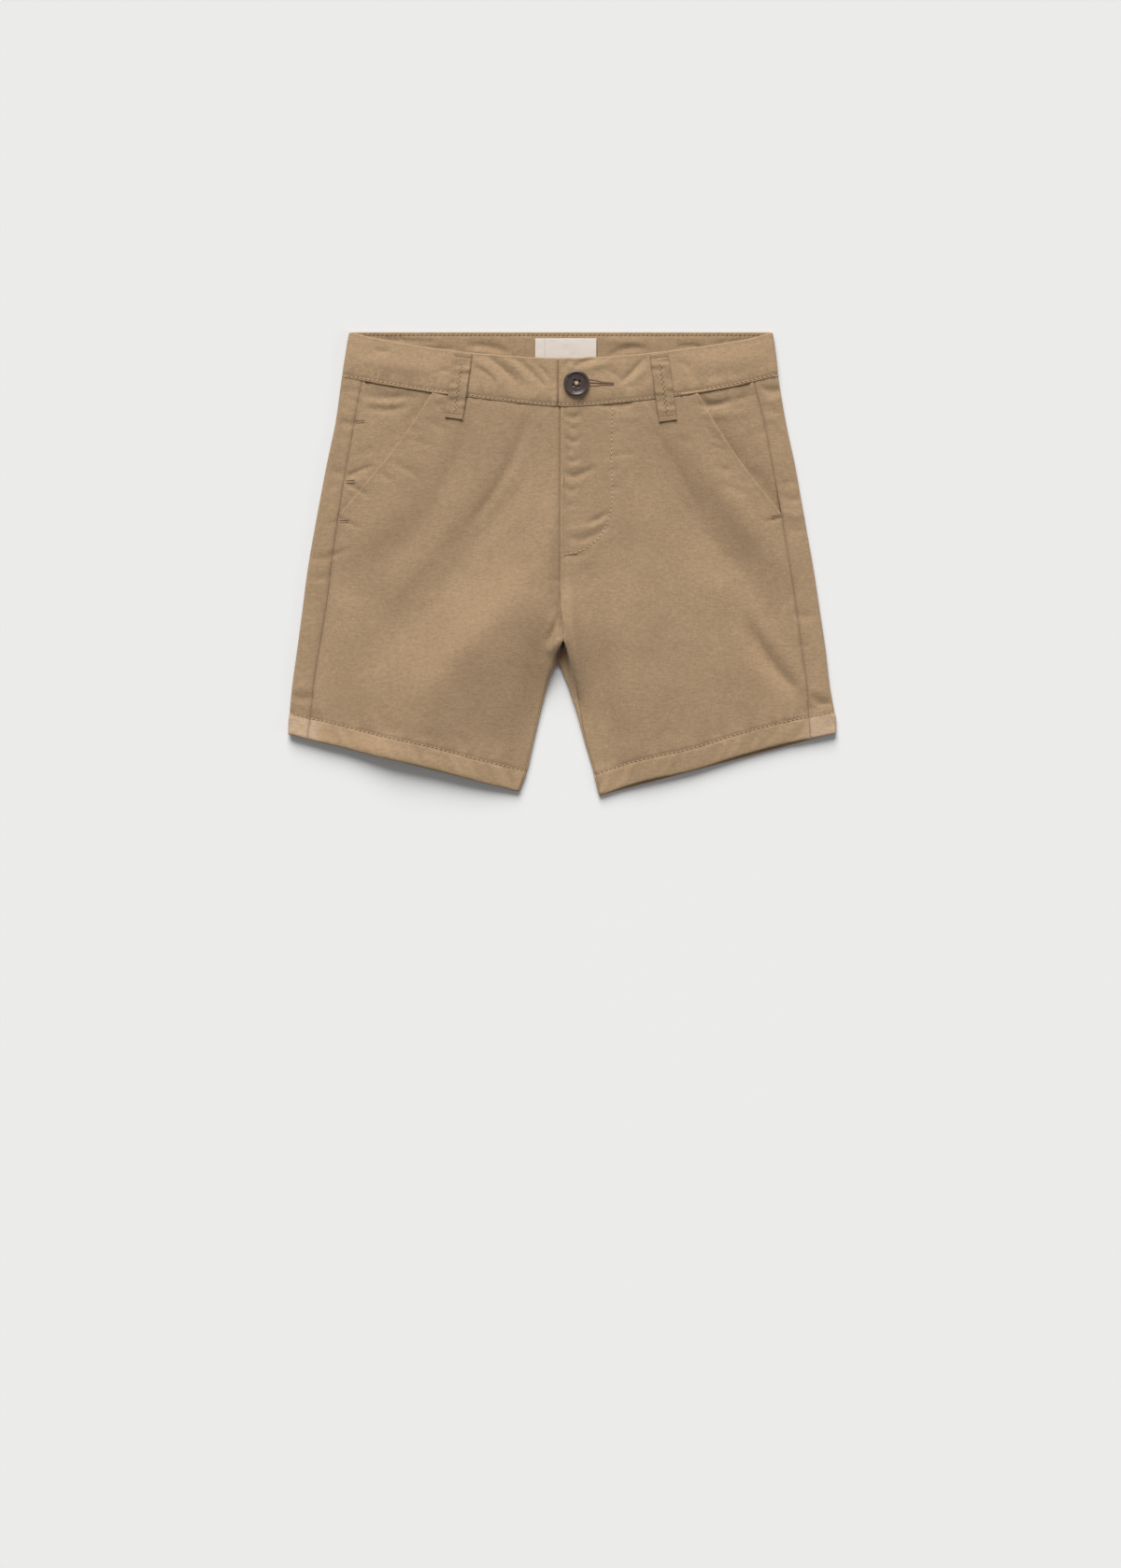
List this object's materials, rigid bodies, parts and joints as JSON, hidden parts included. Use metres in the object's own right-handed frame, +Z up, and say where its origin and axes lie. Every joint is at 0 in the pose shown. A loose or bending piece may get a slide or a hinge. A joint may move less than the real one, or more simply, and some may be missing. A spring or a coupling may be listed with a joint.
{
  "type": "bermuda shorts",
  "caption": "Child's chino bermuda shorts laid flat, front up: slant hip pockets, buttoned waistband with belt loops, hemmed legs.",
  "frame": {"origin": "centre of the bounding box in plan, on the surface that the shorts lie on", "axes": "+X towards the wearer's left, +Y towards the waist, +Z up, out of the front of the shorts"},
  "size_m": [0.3223, 0.2728, 0.0166],
  "materials": {
    "twill": "brushed cotton twill, matt",
    "button": "satin, dark brown",
    "label": "woven tape, matt, bare"
  },
  "bodies": {
    "root": {"front_right": "twill", "front_left": "twill", "back_right": "twill", "back_left": "twill", "pocket_facing_right": "twill", "pocket_facing_left": "twill", "waistband": "twill", "belt_loop_right": "twill", "belt_loop_left": "twill", "button": "button", "label": "label"}
  },
  "joints": []
}
